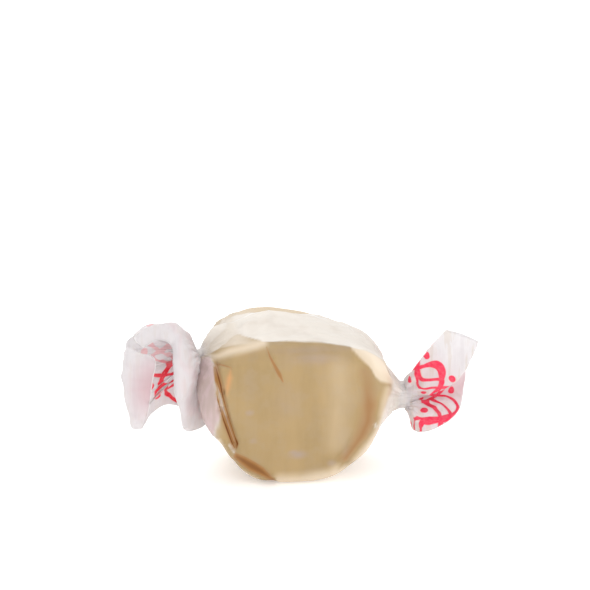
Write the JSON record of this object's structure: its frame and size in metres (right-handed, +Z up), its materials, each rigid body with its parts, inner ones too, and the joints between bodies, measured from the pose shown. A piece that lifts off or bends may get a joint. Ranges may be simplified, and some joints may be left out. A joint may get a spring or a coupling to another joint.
{
  "type": "wrapped taffy",
  "caption": "Tan salt water taffy, a short pressed cylinder, rolled in translucent wax paper that is twisted to a neck and a fan at each end.",
  "frame": {"origin": "on the flat spot under the sweet, below its middle, where it rests", "axes": "+X from the left twist to the right twist, -Y out of the shown flat end, +Z up"},
  "size_m": [0.0531, 0.018, 0.0235],
  "materials": {
    "taffy": "smooth, faintly mottled, satin",
    "waxed_paper": "translucent, lightly waxed, printed in red near the twists"
  },
  "bodies": {
    "root": {"taffy": "taffy", "wrapper": "waxed_paper"}
  },
  "joints": []
}
